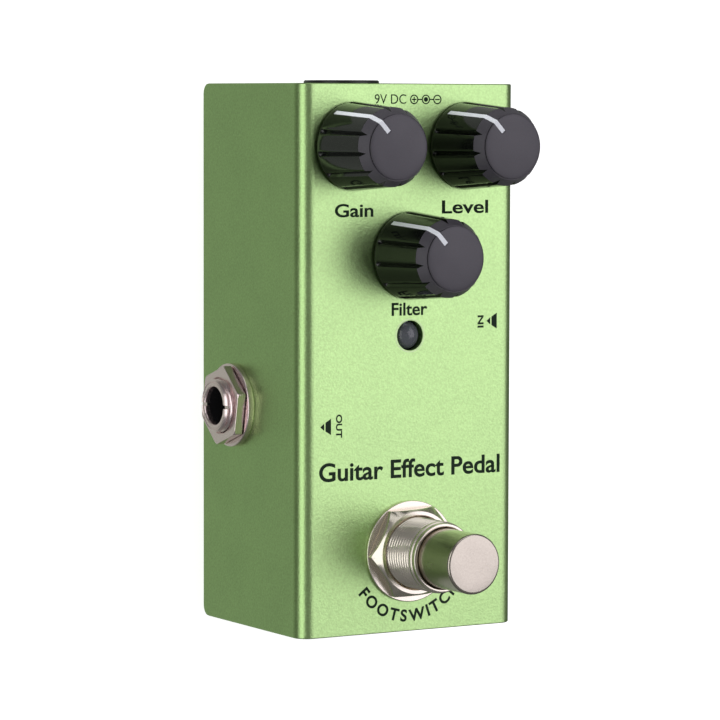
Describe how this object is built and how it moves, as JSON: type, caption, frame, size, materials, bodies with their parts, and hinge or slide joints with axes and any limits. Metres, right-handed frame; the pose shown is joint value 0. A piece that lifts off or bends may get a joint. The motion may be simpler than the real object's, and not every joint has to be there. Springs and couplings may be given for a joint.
{
  "type": "guitar effects pedal",
  "caption": "Compact stomp pedal in a folded metal case, with rotary knobs, a status light, a push footswitch and side audio sockets.",
  "frame": {"origin": "centre of the rubber pad's underside, on the surface the pedal lies on", "axes": "+Z out of the control face, +Y along the case towards the power-socket end, +X to the player's right"},
  "size_m": [0.05, 0.0926, 0.056],
  "materials": {
    "case_green": "bead-blasted and anodised light green, satin with a fine sparkle",
    "plain_aluminium": "turned, plain",
    "screw_steel": "zinc-plated",
    "pad_rubber": "matte, finely textured",
    "knob_black": "glossy sides with a matte grey-black top",
    "pointer_white": "white inlay",
    "pot_zinc": "die-cast zinc, plain",
    "phenolic_brown": "phenolic",
    "contact_bronze": "phosphor bronze",
    "carbon_track": "printed carbon",
    "tinned_lead": "tinned",
    "led_clear": "water-clear epoxy",
    "switch_nickel": "bright nickel plate, warm",
    "socket_nickel": "nickel plate, slightly dull",
    "spring_steel": "drawn wire",
    "switch_blue": "moulded",
    "nylon_white": "nylon",
    "socket_black": "moulded, slightly satin",
    "board_green": "solder mask",
    "chip_black": "moulded epoxy",
    "capacitor_red": "film box",
    "resistor_tan": "lacquered",
    "ribbon_grey": "flat cable insulation"
  },
  "bodies": {
    "enclosure": {"case_shell": "case_green", "base_chassis": "case_green", "corner_blocks": "plain_aluminium", "back_screws": "screw_steel", "rubber_pad": "pad_rubber", "drive_pot_housing": "pot_zinc", "drive_pot_base": "phenolic_brown", "volume_pot_housing": "pot_zinc", "volume_pot_base": "phenolic_brown", "tone_pot_housing": "pot_zinc", "tone_pot_base": "phenolic_brown", "pot_washers": "socket_nickel", "pot_nuts": "socket_nickel", "pot_tracks": "carbon_track", "pot_pins": "tinned_lead", "led_lens": "led_clear", "led_leads": "tinned_lead", "footswitch_washer": "switch_nickel", "footswitch_nut": "switch_nickel", "footswitch_barrel": "switch_nickel", "footswitch_lock_washer": "switch_nickel", "footswitch_inner_nut": "switch_nickel", "footswitch_spring": "spring_steel", "footswitch_housing": "switch_blue", "footswitch_terminals": "tinned_lead", "output_jack_washer": "socket_nickel", "output_jack_nut": "socket_nickel", "output_jack_bushing": "socket_nickel", "output_jack_body": "socket_black", "output_jack_contacts": "contact_bronze", "input_jack_washer": "socket_nickel", "input_jack_nut": "socket_nickel", "input_jack_bushing": "socket_nickel", "input_jack_body": "socket_black", "input_jack_contacts": "contact_bronze", "dc_socket_body": "socket_black", "dc_centre_pin": "socket_nickel", "dc_socket_nut": "socket_nickel", "dc_contacts": "contact_bronze", "main_board": "board_green", "switch_board": "board_green", "opamp_chip": "chip_black", "capacitors": "capacitor_red", "resistors_and_diodes": "resistor_tan", "ribbon_cable": "ribbon_grey"},
    "drive_control": {"drive_knob": "knob_black", "drive_knob_pointer": "pointer_white", "drive_pot_shaft": "plain_aluminium", "drive_pot_wiper": "contact_bronze"},
    "volume_control": {"volume_knob": "knob_black", "volume_knob_pointer": "pointer_white", "volume_pot_shaft": "plain_aluminium", "volume_pot_wiper": "contact_bronze"},
    "tone_control": {"tone_knob": "knob_black", "tone_knob_pointer": "pointer_white", "tone_pot_shaft": "plain_aluminium", "tone_pot_wiper": "contact_bronze"},
    "footswitch_button": {"footswitch_plunger": "switch_nickel", "footswitch_actuator": "nylon_white"},
    "footswitch_changeover": {"footswitch_rockers": "contact_bronze"}
  },
  "joints": [
    {"name": "drive_turn", "type": "hinge", "parent": "enclosure", "child": "drive_control", "pos_m": [-0.011, 0.0356, 0.0355], "axis": [0, 0, -1], "range_deg": [-100, 180]},
    {"name": "volume_turn", "type": "hinge", "parent": "enclosure", "child": "volume_control", "pos_m": [0.011, 0.0356, 0.0355], "axis": [0, 0, -1], "range_deg": [-100, 180]},
    {"name": "tone_turn", "type": "hinge", "parent": "enclosure", "child": "tone_control", "pos_m": [0, 0.0173, 0.0355], "axis": [0, 0, -1], "range_deg": [-100, 180]},
    {"name": "footswitch_press", "type": "slide", "parent": "enclosure", "child": "footswitch_button", "axis": [0, 0, -1], "range_m": [0, 0.003], "stiffness_N_per_m": 3000, "springref_m": -0.003, "deforming": ["footswitch_spring"]},
    {"name": "rocker_tilt", "type": "hinge", "parent": "enclosure", "child": "footswitch_changeover", "pos_m": [0, -0.0324, 0.0172], "axis": [-1, 0, 0], "range_deg": [0, 20]}
  ]
}
